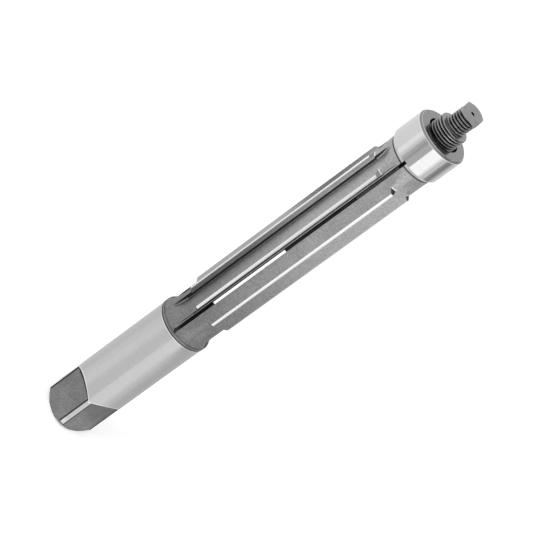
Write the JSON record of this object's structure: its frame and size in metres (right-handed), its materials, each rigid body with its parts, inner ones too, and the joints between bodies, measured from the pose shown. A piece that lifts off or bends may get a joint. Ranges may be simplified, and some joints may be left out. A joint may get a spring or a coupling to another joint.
{
  "type": "expansion reamer",
  "caption": "Straight-flute expansion hand reamer: a slotted fluted body, square drive, round pilot, and an adjusting screw with a lock bush that pushes a taper plug to open the teeth.",
  "frame": {"origin": "centre of the square end's face, on the axis; the reamer stands on it", "axes": "+Z along the reamer's axis, from the square end to the pilot and the adjusting screw; -Y is the side that the picture shows"},
  "size_m": [0.0318, 0.0318, 0.2911],
  "materials": {
    "ground_tool_steel": "hardened tool steel, shank, pilot and teeth ground bright, flutes and square left dark grey from hardening",
    "plug_steel": "hardened steel, turned",
    "screw_steel": "turned steel, oiled",
    "bush_steel": "turned steel, oiled"
  },
  "bodies": {
    "reamer": {"reamer_body": "ground_tool_steel"},
    "plug": {"expansion_plug": "plug_steel"},
    "screw": {"adjusting_screw": "screw_steel"},
    "lock": {"lock_bush": "bush_steel"}
  },
  "joints": [
    {"name": "plug_travel", "type": "slide", "parent": "reamer", "child": "plug", "axis": [0, 0, -1], "range_m": [-0.002, 0.006]},
    {"name": "screw_turn", "type": "hinge", "parent": "plug", "child": "screw", "pos_m": [0, 0, 0.27], "axis": [0, 0, -1], "range_deg": [-411.5, 1234.4]},
    {"name": "lock_turn", "type": "hinge", "parent": "reamer", "child": "lock", "pos_m": [0, 0, 0.27], "axis": [0, 0, 1], "range_deg": [0, 180]}
  ],
  "couplings": [
    {"joint": "screw_turn", "follows": "plug_travel", "rad_per_m": 3590.4}
  ]
}
